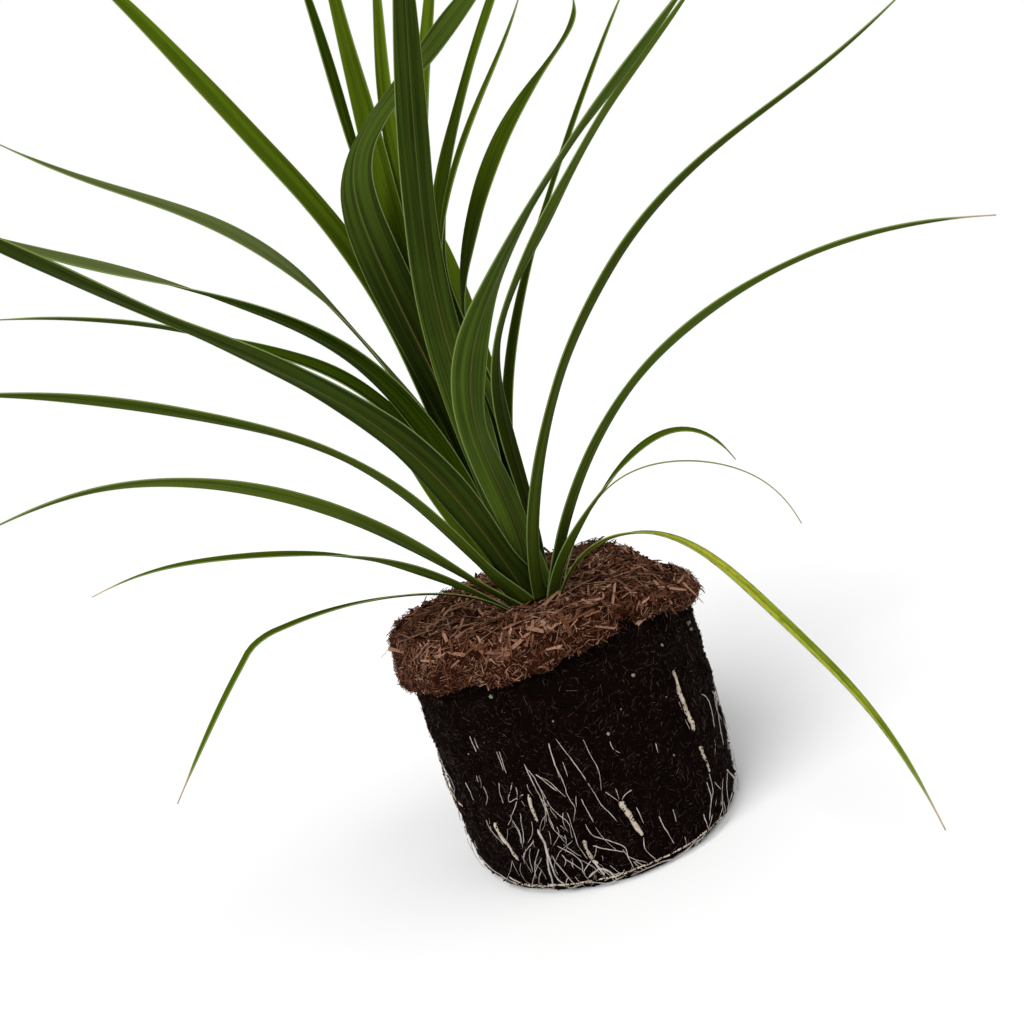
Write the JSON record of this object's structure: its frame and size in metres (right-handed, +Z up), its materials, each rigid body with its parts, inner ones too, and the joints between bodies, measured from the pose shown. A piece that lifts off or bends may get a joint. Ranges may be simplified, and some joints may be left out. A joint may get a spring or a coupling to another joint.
{
  "type": "cordyline plant with a bare root ball",
  "caption": "Young cordyline lifted out of its pot: a crown of arching strap leaves on a round peat root ball topped with bark mulch.",
  "frame": {"origin": "middle of the root ball's flat underside", "axes": "+Z up along the root ball's axis, -Y towards the front, +X to the right seen from the front"},
  "size_m": [0.3806, 0.3657, 0.4439],
  "materials": {
    "peat": "moist, granular, matte",
    "mulch": "shredded bark, matte",
    "leaf": "satin, dark green, fine parallel veins",
    "leaf_yellow": "satin, yellowing green",
    "leaf_dry": "dry, matte, pale brown",
    "stem": "matte, pale green",
    "root": "matte, cream"
  },
  "bodies": {
    "root": {"root_ball": "peat", "mulch_layer": "mulch", "stem": "stem", "leaf_front_tall": "leaf", "leaf_wavy_left": "leaf", "leaf_wavy_right": "leaf", "leaf_top_1": "leaf", "leaf_top_2": "leaf", "leaf_top_3": "leaf", "leaf_top_4": "leaf", "leaf_top_5": "leaf", "leaf_top_6": "leaf", "leaf_top_7": "leaf", "leaf_left_1": "leaf", "leaf_left_2": "leaf", "leaf_left_3": "leaf", "leaf_left_4": "leaf", "leaf_left_5": "leaf", "leaf_left_6": "leaf", "leaf_left_7": "leaf", "leaf_left_8": "leaf", "leaf_left_9": "leaf", "leaf_right_2": "leaf", "leaf_right_3": "leaf", "leaf_right_4": "leaf", "leaf_right_5": "leaf", "leaf_right_6": "leaf", "leaf_right_7": "leaf_dry", "leaf_right_8": "leaf_yellow", "leaf_back_1": "leaf", "leaf_back_2": "leaf", "leaf_back_3": "leaf", "root_right_upper": "root", "root_right_lower": "root", "root_front_thick": "root", "root_front_left": "root", "root_front_middle": "root", "root_front_low": "root", "root_left_strand": "root", "root_base_loop": "root"}
  },
  "joints": []
}
